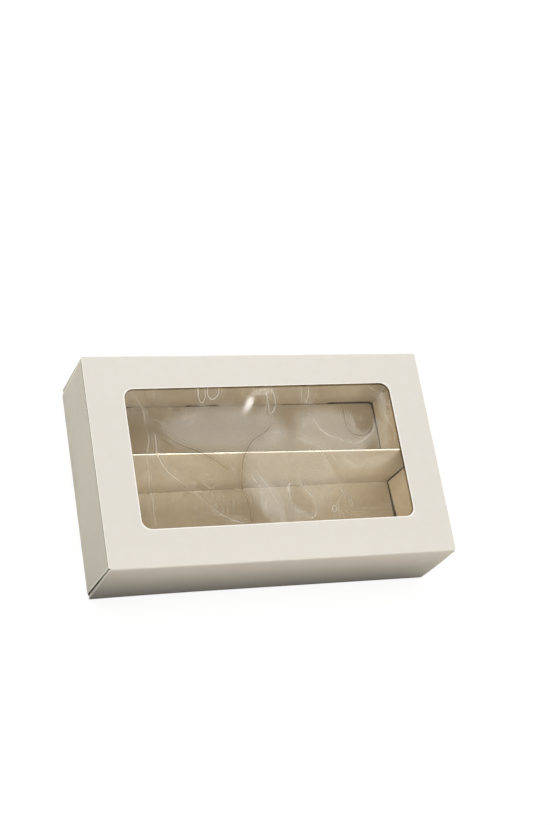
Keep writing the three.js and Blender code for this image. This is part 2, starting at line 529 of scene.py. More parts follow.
# Painted shade: a dark brown line where a slit or the gap under a fold lies in deep shadow
PAINTED_SLIT_SHADE = CardFinish("painted_slit_shade_board", "#41301d", "#362716", roughness=0.9)
# The back of the carton's board is unbleached pulp, a dull grey brown, kept dark so that where it
# shows through the slits it is also painted shade
REVERSE = CardFinish("unbleached_reverse", "#7a664d", "#6f5b43", roughness=0.85)
# The tray's board is white card; its darker, warmer tone here is painted shade and the warm bounce
# light deep inside the box
TRAY_CARD = CardFinish("tray_board_painted_shade", "#c0b29b", "#b8a990", cloud_mm=9.0, roughness=0.78)
# Painted shade: the tray's cut edges and the back of its ridge are dark brown, so that its slits
# show as dark lines
TRAY_SHADE_EDGE = CardFinish("tray_edge_painted_shade", "#57432c", "#4b3924", roughness=0.85)
# Painted highlight along the divider's ridge, where its top catches the light
TRAY_RIDGE_HIGHLIGHT = CardFinish("tray_ridge_painted_highlight", "#f7f2e6", "#f1ebde", roughness=0.8, relief_mm=0.01)
# What the camera sees of the floor: white almost up to the box, with a faint shadow at its foot
FLOOR = FloorFinish("studio_board", "#7f7f7f", glow=0.82)
# What the floor sends back up: its light comes off a warmer board
BOUNCE = FloorFinish("warm_studio_board", "#fdfbee")


def arc(
    centre: tuple[float, float], radius: float, start: float, stop: float, steps: int
) -> Array:
    """Points along a circle's arc.

    Args:
        centre: Middle of the circle.
        radius: Its radius.
        start: First angle in degrees, measured from the first axis to the second.
        stop: Last angle in degrees.
        steps: Number of equal steps between them.

    Returns:
        Array of steps + 1 points with two coordinates each.
    """
    angles = np.radians(np.linspace(start, stop, steps + 1))
    return np.stack([np.cos(angles), np.sin(angles)], -1) * radius + np.array(centre)


def joined_path(*parts: Array) -> Array:
    """Puts pieces of a path end to end, leaving out points that repeat.

    Args:
        *parts: Arrays of points.

    Returns:
        One array of points.
    """
    path = np.concatenate(parts)
    steps = np.linalg.norm(np.diff(path, axis=0), axis=1)
    return path[np.concatenate([[True], steps > TINY])]


def blend(low: Array | float, high: Array | float, share: Array | float) -> Array:
    """Point or value that lies the given share of the way from low to high."""
    return low + (high - low) * share


def smooth(share: Array) -> Array:
    """Soft step: 0 below 0, 1 above 1 and an even S between."""
    held = np.clip(share, 0, 1)
    return held * held * (3 - 2 * held)


def round_corner(past: Array, radius: float) -> Array:
    """How far a round corner draws a straight edge in, by the circle's formula.

    Args:
        past: Distances along the edge past the corner's start.
        radius: Radius of the corner.

    Returns:
        Distances from the straight edge, 0 before the start and the radius at the corner's end.
    """
    into = np.clip(past, 0, radius)
    return radius - np.sqrt(radius**2 - into**2)


def carried(profile: Array, x: Array) -> Array:
    """Carries a profile along X.

    Args:
        profile: Points in (y, z), one for each row.
        x: Places along X, as rows by columns.

    Returns:
        Grid of rows by columns by three coordinates.
    """
    across = np.broadcast_to(profile[:, None], (*x.shape, 2))
    return np.concatenate([x[..., None], across], -1)


def new_object(name: str, data: bpy.types.ID) -> bpy.types.Object:
    """Makes an object and puts it into the scene.

    Args:
        name: Name of the object.
        data: Its mesh, light or camera.

    Returns:
        The object.
    """
    made = bpy.data.objects.new(name, data)
    bpy.context.scene.collection.objects.link(made)
    return made


class Sheet:
    """Surface gathered from grids of points, which then gets the thickness of its card."""

    def __init__(self) -> None:
        """Starts an empty sheet."""
        self._points: list[Array] = []
        self._faces: list[Array] = []
        self._layers: list[Array] = []
        self._count = 0

    def add(
        self,
        grid: Array,
        towards: tuple[float, float, float],
        layers: Array | int = Layer.FACE,
    ) -> None:
        """Adds a grid of points, turned so that its faces look the given way.

        Args:
            grid: Array of rows by columns by three coordinates.
            towards: Direction that the grid's face looks on the whole.
            layers: Finish of each face, or one for all.
        """
        rows, columns = grid.shape[:2]
        index = np.arange(rows * columns).reshape(rows, columns)
        quads = np.stack([index[:-1, :-1], index[:-1, 1:], index[1:, 1:], index[1:, :-1]], -1)
        first = grid[1:, 1:] - grid[:-1, :-1]
        second = grid[1:, :-1] - grid[:-1, 1:]
        if np.cross(first, second).sum((0, 1)) @ np.array(towards) < 0:
            quads = quads[..., ::-1]
        self._points.append(grid.reshape(-1, 3))
        self._faces.append(quads.reshape(-1, 4) + self._count)
        self._layers.append(np.broadcast_to(layers, (rows - 1, columns - 1)).reshape(-1))
        self._count += rows * columns

    def solid(
        self,
        name: str,
        thickness: float,
        materials: list[bpy.types.Material],
        warp: "Warp | None" = None,
        attributes: dict[str, Array] | None = None,
    ) -> bpy.types.Object:
        """Turns the sheet into a closed solid whose outer face is the sheet itself.

        Args:
            name: Name of the object.
            thickness: Thickness of the card, laid down behind the sheet's face.
            materials: Materials, in the order of the layers.
            warp: Small bend of the whole box, if the piece takes part in it.
            attributes: Values of each point of the sheet, for materials to read.

        Returns:
            The object, at the origin, with its thickness applied.
        """
        points = np.concatenate(self._points)
        if warp is not None:
            points = warp.bend(points)
        faces = np.concatenate(self._faces)
        mesh = bpy.data.meshes.new(name)
        mesh.from_pydata((points * MM).tolist(), [], faces.tolist())
        layers = np.concatenate(self._layers).astype(np.int32)
        mesh.polygons.foreach_set("material_index", layers)
        for material in materials:
            mesh.materials.append(material)
        for key, values in (attributes or {}).items():
            stored = mesh.attributes.new(key, "FLOAT", "POINT")
            stored.data.foreach_set("value", values.reshape(-1).astype(np.float32))
        whole = bmesh.new()
        whole.from_mesh(mesh)
        bmesh.ops.remove_doubles(whole, verts=whole.verts, dist=MERGE * MM)
        whole.to_mesh(mesh)
        whole.free()
        piece = new_object(name, mesh)
        wall = piece.modifiers.new("card_thickness", "SOLIDIFY")
        wall.thickness = thickness * MM
        wall.offset = -1.0
        wall.use_even_offset = True
        wall.use_quality_normals = True
        wall.material_offset = Layer.REVERSE
        wall.material_offset_rim = Layer.EDGE
        bpy.context.view_layer.update()
        graph = bpy.context.evaluated_depsgraph_get()
        finished = bpy.data.meshes.new_from_object(piece.evaluated_get(graph))
        piece.modifiers.clear()
        piece.data = finished
        finished.name = name
        finished.polygons.foreach_set("use_smooth", np.ones(len(finished.polygons), bool))
        finished.set_sharp_from_angle(angle=SHARP_EDGE)
        return piece


@dataclass(frozen=True)
class Warp:
    """The way the real box is slightly out of true: thin card bulges and spreads at its edges."""

    half_length: float
    half_width: float
    height: float
    reach: float = 70.0
    spread: float = 0.6
    front_sag: float = 0.55
    back_bulge: tuple[float, float] = (0.2, 0.7)
    right_bulge: float = 0.35
    right_bow: float = 0.4
    right_steepness: int = 4
    wall_inset: float = 1.2
    wall_blend: float = 0.6
    panel_bottom: float = 46.2
    panel_blend: float = 0.5
    foot: float = 0.5
    foot_blend: float = 2.0

    def bend(self, points: Array) -> Array:
        """Moves points a little outwards.

        Both long sides spread towards the lower left end, the front one sags outwards at its foot
        and the back one bulges, more to the right. At the right end the top panel and the long
        sides stand out, most at mid height, while the bottom and the end panel stay flat.

        Args:
            points: Array of points.

        Returns:
            The moved points.
        """
        x, y, z = points.T
        along, across = x / self.half_length, y / self.half_width
        low = np.clip(1 - z / self.height, 0, 1)
        to_left = np.clip((-x - self.half_length + self.reach) / self.reach, 0, 1)
        outwards = self.spread * to_left**2 * low * across
        outwards -= self.front_sag * low * np.clip(-across, 0, 1) ** 2
        bulge = blend(*self.back_bulge, (along + 1) / 2)
        outwards += bulge * np.clip(across, 0, 1) ** 2
        in_wall = smooth((np.abs(y) - self.half_width + self.wall_inset) / self.wall_blend)
        in_panel = smooth((z - self.panel_bottom) / self.panel_blend)
        to_right = np.clip(along, 0, 1) ** self.right_steepness * np.maximum(in_wall, in_panel)
        to_right *= smooth((z - self.foot) / self.foot_blend)
        moved = points.copy()
        moved[:, 0] += to_right * (self.right_bulge + self.right_bow * 4 * low * (1 - low))
        moved[:, 1] += outwards
        return moved


@dataclass(frozen=True)
class Window:
    """Opening in the top panel: a rectangle with round corners, its edges slightly out of line.

    The front and back edges are given by where they start at the left and end at the right.
    """

    left: float = -78.9
    right: float = 79.2
    front: tuple[float, float] = (-39.3, -38.8)
    back: tuple[float, float] = (40.7, 42.0)
    radius: float = 5.5
    arc_steps: int = 6

    def along_side(self, side: Side, straight_steps: int) -> Array:
        """Long edge from the middle of its left corner arc to the middle of its right one.

        Args:
            side: Which long edge.
            straight_steps: Number of steps between the arcs.

        Returns:
            Array of points with two coordinates each.
        """
        angles = (225, 270, 315) if side is Side.FRONT else (135, 90, 45)
        centres = (self._centre(End.LEFT, side), self._centre(End.RIGHT, side))
        return self._edge(centres, angles, straight_steps)

    def along_end(self, end: End, straight_steps: int) -> Array:
        """Short edge from the middle of its front corner arc to the middle of its back one.

        Args:
            end: Which short edge.
            straight_steps: Number of steps between the arcs.

        Returns:
            Array of points with two coordinates each.
        """
        angles = (225, 180, 135) if end is End.LEFT else (-45, 0, 45)
        centres = (self._centre(end, Side.FRONT), self._centre(end, Side.BACK))
        return self._edge(centres, angles, straight_steps)

    def depth(self, x: Array, y: Array) -> Array:
        """How far inside the opening's outline a place lies, negative outside it.

        Args:
            x: Places along the box.
            y: Places across it.

        Returns:
            Distance in millimetres.
        """
        along = (x - self.left) / (self.right - self.left)
        from_edge = np.minimum(y - blend(*self.front, along), blend(*self.back, along) - y)
        across = self.radius - from_edge
        ends = self.radius - np.minimum(x - self.left, self.right - x)
        corner = np.hypot(np.maximum(across, 0), np.maximum(ends, 0))
        return self.radius - corner - np.minimum(np.maximum(across, ends), 0)

    def _centre(self, end: End, side: Side) -> tuple[float, float]:
        """Middle of the circle that rounds the corner at one end and side.

        Args:
            end: End of the corner.
            side: Side of the corner.

        Returns:
            Its place along and across the box.
        """
        x = self.left if end is End.LEFT else self.right
        edge = self.front if side is Side.FRONT else self.back
        y = edge[0] if end is End.LEFT else edge[1]
        return x - end.value * self.radius, y - side.value * self.radius

    def _edge(
        self,
        centres: tuple[tuple[float, float], tuple[float, float]],
        angles: tuple[int, int, int],
        straight_steps: int,
    ) -> Array:
        """One edge of the opening: half an arc, a straight run in equal steps and half an arc.

        Args:
            centres: Middles of the first and the last arc.
            angles: Angles in degrees of the edge's start, of the straight run and of its end.
            straight_steps: Number of steps of the straight run.

        Returns:
            Array of points with two coordinates each.
        """
        first = arc(centres[0], self.radius, angles[0], angles[1], self.arc_steps)
        last = arc(centres[1], self.radius, angles[1], angles[2], self.arc_steps)
        share = np.linspace(0, 1, straight_steps + 1)[:, None]
        return np.concatenate([first, blend(first[-1], last[0], share)[1:-1], last])


@dataclass
class Carton:
    """Folded sleeve with the window in its top, and the four dust flaps on its long walls.

    The panel's rows are shares of the way from the window's edge to the panel's. Near a flap's
    fold its columns are given by their first and last distance from the fold and their step.
    """

    length: float
    width: float
    height: float
    window: Window
    card: float = 0.5
    fold: float = 1.0
    lower_fold: float = 0.6
    fold_end: float = 98.8
    wall_end: float = 99.2
    bow: float = 0.3
    lift: float = 0.3
    press: float = 0.1
    flap_length: float = 38.0
    flap_outset: float = 98.9
    flap_fold: float = 0.45
    flap_turn_degrees: float = 115.0
    flap_lean: float = 1.8
    flap_shade_band: tuple[float, float] = (-0.25, 0.9)
    flap_top: float = 43.0
    flap_bottom: float = 1.6
    flap_corner: float = 6.0
    flap_slope: float = 2.5
    flap_near: tuple[float, float, float] = (0.6, 3.8, 0.15)
    shoulder: float = 0.2
    shoulder_top: float = 45.8
    shoulder_bottom: float = 0.8
    corner_x: tuple[float, float] = (95.0, 84.0)
    corner_y: float = 46.0
    panel_rows: tuple[float, ...] = (
        0, 0.012, 0.03, 0.06, 0.12, 0.22, 0.36, 0.52, 0.68, 0.82, 0.92, 0.985, 1,
    )
    pressed_highlight_rows: int = 2
    lit_fold_columns: int = 4
    long_steps: int = 28
    short_steps: int = 14
    wall_steps: int = 12
    fold_steps: int = 6
    level_start: float = 5.0
    level_points: int = 7
    corner_points: int = 9

    @property
    def half_width(self) -> float:
        """Half the carton's width."""
        return self.width / 2

    def columns(self) -> Array:
        """Places along X of the top panel's outer points.

        Returns:
            Array of places, from the panel's left cut edge to its right one.
        """
        half = self.length / 2
        corner = blend(*self.corner_x, np.linspace(0, 1, self.window.arc_steps - 1))
        left = -np.concatenate([[half, self.fold_end], corner])
        inner = np.linspace(left[-1], -left[-1], self.long_steps + 1)[1:-1]
        return np.concatenate([left, inner, -left[::-1]])

    def top_height(self, x: Array, y: Array) -> Array:
        """Height of the top face: a low dome, a parabola each way that ends at the panel's edges.

        Args:
            x: Places along the box.
            y: Places across it.

        Returns:
            Heights.
        """
        along = 1 - np.clip(np.abs(x) / (self.length / 2), 0, 1) ** 2
        across = 1 - np.clip(np.abs(y) / (self.half_width - self.fold), 0, 1) ** 2
        return self.height + self.lift * along * across

    def add_top(self, sheet: Sheet) -> None:
        """Adds the top panel: four grids that run from the window's edge out to the panel's.

        The band next to the window is pressed down by the cutting die, and it and the band along
        each cut end have the bright edge finish, a painted highlight.

        Args:
            sheet: Sheet that takes the grids.
        """
        half, reach = self.length / 2, self.half_width - self.fold
        outer_x = self.columns()
        corner_y = np.linspace(reach, self.corner_y, self.window.arc_steps + 1)
        inner_y = np.linspace(-self.corner_y, self.corner_y, self.short_steps + 1)[1:-1]
        outer_y = np.concatenate([-corner_y, inner_y, corner_y[::-1]])
        rims = []
        for side in Side:
            inner = self.window.along_side(side, self.long_steps)
            outer = np.stack([outer_x, np.full_like(outer_x, side.value * reach)], -1)
            rims.append((inner, outer, False))
        for end in End:
            inner = self.window.along_end(end, self.short_steps)
            outer = np.stack([np.full_like(outer_y, end.value * half), outer_y], -1)
            rims.append((inner, outer, True))
        share = np.array(self.panel_rows)
        pressed = np.clip(1 - share / share[self.pressed_highlight_rows], 0, 1)[:, None] ** 2
        for inner, outer, cut in rims:
            flat = blend(inner[None], outer[None], share[:, None, None])
            z = self.top_height(flat[..., 0], flat[..., 1]) - self.press * pressed
            # The bands beside the window and along the cut ends are painted highlight
            band = np.full(len(share) - 1, Layer.FACE)
            band[: self.pressed_highlight_rows] = Layer.EDGE
            if cut:
                band[-1] = Layer.EDGE
            sheet.add(np.concatenate([flat, z[..., None]], -1), (0, 0, 1), band[:, None])

    def _strip(self, profile: Array, reach: Array) -> Array:
        """Grid of a profile in (y, z) carried along X, each row ending at its own reach."""
        return carried(profile, reach[:, None] * self.columns()[None, 1:-1] / self.fold_end)

    def add_side(self, sheet: Sheet, side: Side) -> None:
        """Adds one long wall with the folds above and below it and its two dust flaps.

        Args:
            sheet: Sheet that takes the grids.
            side: Which wall.
        """
        sign = side.value
        high = (self.half_width - self.fold, self.height - self.fold)
        low = (self.half_width - self.lower_fold, self.lower_fold)
        upper = arc(high, self.fold, 90, 0, self.fold_steps)
        lower = arc(low, self.lower_fold, 0, -90, self.fold_steps)
        heights = blend(high[1], low[1], np.linspace(0, 1, self.wall_steps + 1))
        wall = np.stack([np.full_like(heights, self.half_width), heights], -1)
        share = np.linspace(0, 1, self.fold_steps + 1)
        flip = np.array([sign, 1])
        top_reach = blend(self.fold_end, self.wall_end, share)
        sheet.add(self._strip(upper * flip, top_reach), (0, sign, 1))
        sheet.add(self._strip(lower * flip, top_reach[::-1]), (0, sign, -1))
        face = self._strip(wall * flip, np.full(len(wall), self.wall_end))
        along = 1 - (face[..., 0] / self.wall_end) ** 2
        middle, rise = (high[1] + low[1]) / 2, (high[1] - low[1]) / 2
        upright = 1 - ((face[..., 2] - middle) / rise) ** 2
        face[..., 1] += sign * self.bow * along * upright
        sheet.add(face, (0, sign, 0))
        for end in End:
            self._add_flap(sheet, side, end, heights)

    def _add_flap(self, sheet: Sheet, side: Side, end: End, heights: Array) -> None:
        """Adds one dust flap, from the wall's end round its fold to its free edge.

        The plan is an arc, a short run that leans in behind the end panel and a straight one. The
        upper and lower edges are functions of the distance along it: a short shoulder, a slope, a
        level run and a round corner. A dark line of painted shade runs down it just behind the end
        panel's edge, where the slit between them lies in shadow, and its first columns by the fold
        are a painted highlight.

        Args:
            sheet: Sheet that takes the grid.
            side: Wall that the flap hangs on.
            end: End of the box that it closes.
            heights: Heights of the wall's points, which the flap's first column shares.
        """
        bend_y = self.half_width - self.flap_fold
        last = 90 - self.flap_turn_degrees
        turn = arc((self.wall_end, bend_y), self.flap_fold, 90, last, self.fold_steps)
        run = self.flap_length - self.flap_fold
        ease = np.sin(np.linspace(0, math.pi / 2, self.corner_points))
        level = np.linspace(self.level_start, run - self.flap_corner, self.level_points)
        corner = run - self.flap_corner * (1 - ease[1:])
        distance = np.concatenate([np.arange(*self.flap_near), level, corner])
        leaning = (bend_y - turn[-1, 1], self.flap_lean)
        depth = np.interp(distance, leaning, (turn[-1, 0], self.flap_outset))
        straight = np.stack([depth, bend_y - distance], -1)
        plan = joined_path(turn, straight)
        along = np.concatenate([np.full(len(turn), -1.0), distance])
        slope = np.clip((along - self.shoulder) / (self.flap_slope - self.shoulder), 0, 1)
        rounding = round_corner(along - (run - self.flap_corner), self.flap_corner)
        top = blend(self.shoulder_top, self.flap_top, slope) - rounding
        bottom = blend(self.shoulder_bottom, self.flap_bottom, slope) + rounding
        top[0], bottom[0] = heights[0], heights[-1]
        share = (heights - heights[-1]) / (heights[0] - heights[-1])
        z = blend(bottom[None], top[None], share[:, None])
        x = np.broadcast_to(end.value * plan[:, 0], z.shape)
        y = np.broadcast_to(side.value * plan[:, 1], z.shape)
        # Painted shade in a band behind the end panel's edge, and painted highlight by the fold
        behind = along - blend(*END_INSET, share)[:, None] + self.flap_fold
        in_slit_shade = (behind > self.flap_shade_band[0]) & (behind < self.flap_shade_band[1])
        layers = np.where(in_slit_shade[:-1, :-1], Layer.PAINTED_SLIT_SHADE, Layer.FACE)
        layers[:, : self.lit_fold_columns] = Layer.EDGE
        sheet.add(np.stack([x, y, z], -1), (end.value, 0.05 * side.value, 0), layers)

    def add_bottom(self, sheet: Sheet) -> None:
        """Adds the flat bottom panel.

        Args:
            sheet: Sheet that takes the grid.
        """
        inner = self.half_width - self.lower_fold
        y = np.linspace(-inner, inner, self.wall_steps + 1)
        profile = np.stack([y, np.zeros_like(y)], -1)
        sheet.add(self._strip(profile, np.full(len(y), self.fold_end)), (0, 0, -1))

    def build(self, materials: list[bpy.types.Material], warp: Warp) -> bpy.types.Object:
        """Builds the carton as one folded sheet with the card's thickness.

        Args:
            materials: The card's materials, in the order of the layers.
            warp: Small bend of the whole box.

        Returns:
            The finished piece, riding on the box.
        """
        sheet = Sheet()
        self.add_top(sheet)
        for side in Side:
            self.add_side(sheet, side)
        self.add_bottom(sheet)
        piece = sheet.solid("carton_sleeve", self.card, materials, warp)
        return dress(piece, "box", Slot.WHITE_CARD, "carton")


@dataclass
class EndPanel:
    """Panel that closes one end and turns on the crease below it, with a tuck at its top."""

    end: End
    length: float
    width: float
    top: float
    card: float = 0.5
    fold: float = 0.9
    tuck_length: float = 10.0
    tuck_slope: float = 6.0
    tuck_inset: float = 1.8
    tuck_corner: float = 5.0
    bow: float = 0.15
    pressed: float = 0.8
    fold_shade_depth: float = 0.55
    tuck_rows: tuple[float, ...] = (0.6, 2.0, 3.5)
    heel_steps: int = 5
    turn_steps: int = 8
    corner_points: int = 8
    steps: int = 16

    def build(self, materials: list[bpy.types.Material], warp: Warp) -> bpy.types.Object:
        """Builds the panel: a profile in X and Z carried across, each row as wide as the panel is.

        The top of the fold is painted shade, a dark line under the top panel where the slit lies in
        shadow, and the bands along the panel's side edges are a painted highlight.

        Args:
            materials: The card's materials, in the order of the layers.
            warp: Small bend of the whole box.

        Returns:
            The finished piece, riding on its own body.
        """
        outer = self.length / 2
        heel = arc((outer - self.card, self.card), self.card, -90, 0, self.heel_steps)
        rise = np.linspace(self.card, self.top - self.fold, self.steps + 1)
        face = np.stack([np.full_like(rise, outer), rise], -1)
        corner = (outer - self.fold, self.top - self.fold)
        turn = arc(corner, self.fold, 0, 90 + self.tuck_slope, self.turn_steps)
        slope = math.radians(self.tuck_slope)
        ease = np.sin(np.linspace(0, math.pi / 2, self.corner_points))
        level = self.tuck_length - self.tuck_corner
        run = np.concatenate([self.tuck_rows, self.tuck_length - self.tuck_corner * (1 - ease)])
        down = np.stack([-np.cos(slope) * run, -np.sin(slope) * run], -1) + turn[-1]
        path = joined_path(heel, face, turn, down)
        along_tuck = np.concatenate([np.zeros(len(path) - len(run)), run])
        rounding = round_corner(along_tuck - level, self.tuck_corner)
        half = self.width / 2
        upper = path[:, 1] > self.top / 2
        narrow = upper * np.clip((outer - path[:, 0]) / self.fold, 0, 1)
        inset = blend(*END_INSET, path[:, 1] / self.top)
        reach = half - blend(inset, self.tuck_inset, narrow) - rounding
        inner = reach - self.pressed
        middle = inner[:, None] * np.linspace(-1, 1, self.steps + 1)[None]
        y = np.concatenate([-reach[:, None], middle, reach[:, None]], 1)
        x = np.repeat(path[:, :1], y.shape[1], 1)
        z = np.repeat(path[:, 1:], y.shape[1], 1)
        upright = np.clip(1 - ((z - self.top / 2) / (self.top / 2)) ** 2, 0, 1)
        x = x + self.bow * upright * (1 - (y / half) ** 2) * (x > outer - 0.01)
        grid = np.stack([self.end.value * x, y, z], -1)
        layers = np.full((len(path) - 1, y.shape[1] - 1), Layer.FACE)
        # Painted highlight along the side edges, and painted shade at the top of the fold
        layers[:, [0, -1]] = Layer.EDGE
        at_fold = path[:-1, 0] > outer - 2 * self.fold
        layers[at_fold & (path[:-1, 1] > self.top - self.fold_shade_depth)] = Layer.PAINTED_SLIT_SHADE
        sheet = Sheet()
        sheet.add(grid, (self.end.value, 0, 0.1), layers)
        name = self.end.name.lower()
        piece = sheet.solid(f"{name}_end_flap", self.card, materials, warp)
        return dress(piece, f"{name}_end", Slot.WHITE_CARD, f"end_panel_{name}")


@dataclass(frozen=True)
class Mark:
    """Oval in the film: a pale ring of painted reflection, or an oval milky patch.

    A place with a negative milk is clearer than what surrounds it.
    """

    x: float
    y: float
    half_x: float
    half_y: float
    turn_degrees: float = 0.0
    milk: float = 0.0
    softness: float = 5.0
    least_slope: float = 0.3

    def distance(self, x: Array, y: Array) -> Array:
        """Distance to the oval's outline, negative inside.

        The value of the oval's equation is divided by its slope there, which is close to the true
        distance near the outline. The slope is held up near the middle, where it would vanish.

        Args:
            x: Places along the box.
            y: Places across it.

        Returns:
            Distance in millimetres.
        """
        turn = math.radians(self.turn_degrees)
        away_x, away_y = x - self.x, y - self.y
        along = (away_x * math.cos(turn) + away_y * math.sin(turn)) / self.half_x
        across = (away_y * math.cos(turn) - away_x * math.sin(turn)) / self.half_y
        size = np.hypot(along, across)
        slope = np.hypot(along / self.half_x, across / self.half_y) / np.maximum(size, TINY)
        least = self.least_slope / min(self.half_x, self.half_y)
        return (size - 1) / np.maximum(slope, least)

    def veil(self, x: Array, y: Array) -> Array:
        """Milkiness that the mark adds inside its outline."""
        return self.milk * smooth(-self.distance(x, y) / self.softness)


@dataclass(frozen=True)
class Crease:
    """Crease in the film along a curve through a few points, drawn as a line.

    Its pale line is a painted reflection, and where its strength is negative its dark line is
    painted shade. It dies out at both ends.
    """

    strength: float
    points: tuple[tuple[float, float], ...]
    steps: int = 5
    fade: float = 6.0

    def curve(self) -> Array:
        """Points of the smooth curve.

        Between two given points it is the cubic whose slope at each is half the way from the point
        before to the point after, the rule of Catmull and Rom.

        Returns:
            Array of points with two coordinates each.
        """
        given = np.array(self.points, float)
        before = np.concatenate([[2 * given[0] - given[1]], given[:-1]])
        after = np.concatenate([given[1:], [2 * given[-1] - given[-2]]])
        slope = (after - before) / 2
        share = np.linspace(0, 1, self.steps, endpoint=False)[None, :, None]
        curve = (2 * share**3 - 3 * share**2 + 1) * given[:-1, None]
        curve += (share**3 - 2 * share**2 + share) * slope[:-1, None]
        curve += (3 * share**2 - 2 * share**3) * given[1:, None]
        curve += (share**3 - share**2) * slope[1:, None]
        return np.concatenate([curve.reshape(-1, 2), given[-1:]])

    def measure(self, x: Array, y: Array) -> tuple[Array, Array]:
        """Distance from each place to the curve and the crease's strength at the nearest point.

        The distance is the least one to the curve's straight pieces.

        Args:
            x: Places along the box.
            y: Places across it.

        Returns:
            Two arrays of the places' shape.
        """
        curve = self.curve()
        run = np.diff(curve, axis=0)
        length = np.linalg.norm(run, axis=1)
        away_x = x.reshape(-1, 1) - curve[:-1, 0]
        away_y = y.reshape(-1, 1) - curve[:-1, 1]
        share = np.clip((away_x * run[:, 0] + away_y * run[:, 1]) / length**2, 0, 1)
        gap = np.hypot(away_x - share * run[:, 0], away_y - share * run[:, 1])
        nearest = gap.argmin(1)[:, None]
        start = np.concatenate([[0.0], np.cumsum(length)])
        along = (start[:-1] + share * length)[np.arange(len(nearest))[:, None], nearest][:, 0]
        ends = smooth(along / self.fade) * smooth((start[-1] - along) / self.fade)
        distance = np.take_along_axis(gap, nearest, 1)[:, 0]
        return distance.reshape(x.shape), (self.strength * ends).reshape(x.shape)


@dataclass(frozen=True)
class Wave:
    """Sine wave over the film: its height, its turn in radians per millimetre, and its phase."""

    height: float
    per_x: float
    per_y: float
    phase: float = 0.0

    def at(self, x: Array, y: Array) -> Array:
        """Height times the sine of the phase and of the turns on the way to each place."""
        return self.height * np.sin(self.per_x * x + self.per_y * y + self.phase)


@dataclass(frozen=True)
class Bending:
    """Waves that move places along and across the box, so that what follows them isn't straight."""

    along: tuple[Wave, ...]
    across: tuple[Wave, ...]

    def bend(self, x: Array, y: Array) -> tuple[Array, Array]:
        """Adds the waves to each place.

        Args:
            x: Places along the box.
            y: Places across it.

        Returns:
            The moved places along the box and across it.
        """
        bent_x = x + sum(wave.at(x, y) for wave in self.along)
        bent_y = y + sum(wave.at(x, y) for wave in self.across)
        return bent_x, bent_y


# The ripples' crests bend widely
CRESTS = Bending(
    along=(Wave(8, 0, 0.055, 1.3), Wave(4, 0.11, -0.05)),
    across=(Wave(6, 0.05, 0, 0.4), Wave(3, 0.04, 0.13)),
)
# The outlines of the marks are a little uneven
UNEVEN = Bending(
    along=(Wave(0.7, 0.06, 0.13), Wave(0.4, -0.1, 0.37)),
    across=(Wave(0.7, 0.12, 0, 1.0), Wave(0.4, 0.36, 0.2)),
)
# Two crossing ripples that follow the bent crests
RIPPLES = (Wave(0.07, 0.13, 0.06, 0.5), Wave(0.05, -0.06, 0.15, 2.0))
# Creases, pale lines of painted reflection and dark ones of painted shade, from left to right: two
# beside the left edge, the two long arcs of the left half, the dark bend of the middle, the loops
# in front of and behind the divider and the swirl at the back right
CREASES = (
    Crease(0.6, ((-76, 43), (-71, 34), (-69, 17), (-70, 0), (-71, -12), (-72, -26), (-71, -42))),
    Crease(1.0, ((-66, 18), (-65, 8), (-62, -4), (-54, -12), (-43, -23), (-35, -32), (-20, -40))),
    Crease(-0.8, ((-64, 16), (-46, 6), (-30, -4), (-24, -11))),
    Crease(-0.7, ((5, 19), (-11, 7), (-19, -8), (-19, -20), (-17, -31), (-17, -42))),
    Crease(0.7, ((-4, 14), (8, 14), (19, 10), (30, 2), (36, -13), (39, -29))),
    Crease(0.9, ((-14, -9), (-10, -10), (-5, -17), (-2, -24), (0, -33), (0, -42))),
    Crease(0.9, ((-15, -10), (-11, -16), (-8, -22), (-7, -30), (-9, -38))),
    Crease(
        1.0,
        (
            (8, -16), (12, -16), (17, -21), (21, -29), (19, -37),
            (13, -35), (8, -27), (6, -18), (10, -15),
        ),
    ),
    Crease(0.9, ((30, 43), (29, 36), (26, 27), (31, 16), (40, 9), (52, 7), (62, 12), (67, 20))),
    Crease(0.7, ((15, 11), (24, 19), (23, 30), (26, 41))),
    Crease(0.7, ((29, 9), (38, -3), (41, -15), (42, -27), (43, -34))),
    Crease(0.4, ((61, -2), (52, -8), (47, -5), (41, 0))),
    Crease(-1.0, ((48, 31), (48, 18), (50, 13), (56, 11), (61, 13), (66, 20))),
    Crease(0.5, ((66, 44), (72, 36), (75, 28), (74, 18))),
    Crease(0.4, ((-64, 44), (-58, 33), (-50, 27), (-36, 24))),
)
# Small pale rings, painted reflection: three behind the divider and one near the front right corner
OVALS = (
    Mark(-28, 38.5, 3.2, 4.5),
    Mark(-34.5, 38, 2, 5.5),
    Mark(5, 34.5, 2.3, 8.5, -6),
    Mark(31, -33.4, 1.3, 1.9),
)
# Milky places, partly painted reflection, and two clear ones inside them
VEILS = (
    Mark(-24, 16, 42, 19, milk=0.8, softness=12.0),
    Mark(9, -12, 30, 30, milk=0.5, softness=8.0),
    Mark(-4, -27, 8, 16, 14, milk=0.5, softness=3.0),
    Mark(13, -25, 5.5, 10.5, 28, milk=-0.35, softness=1.5),
    Mark(41, 13, 25, 17, -8, milk=0.85, softness=8.0),
    Mark(21, 17, 8, 11, milk=0.4, softness=5.0),
    Mark(59.5, 23, 6.5, 12, -15, milk=-0.7, softness=3.0),
    Mark(53, -4, 20, 8, milk=0.4, softness=6.0),
    Mark(68, 12, 8, 12, milk=0.5, softness=5.0),
    Mark(74, 27, 4, 12, milk=0.5, softness=3.0),
)


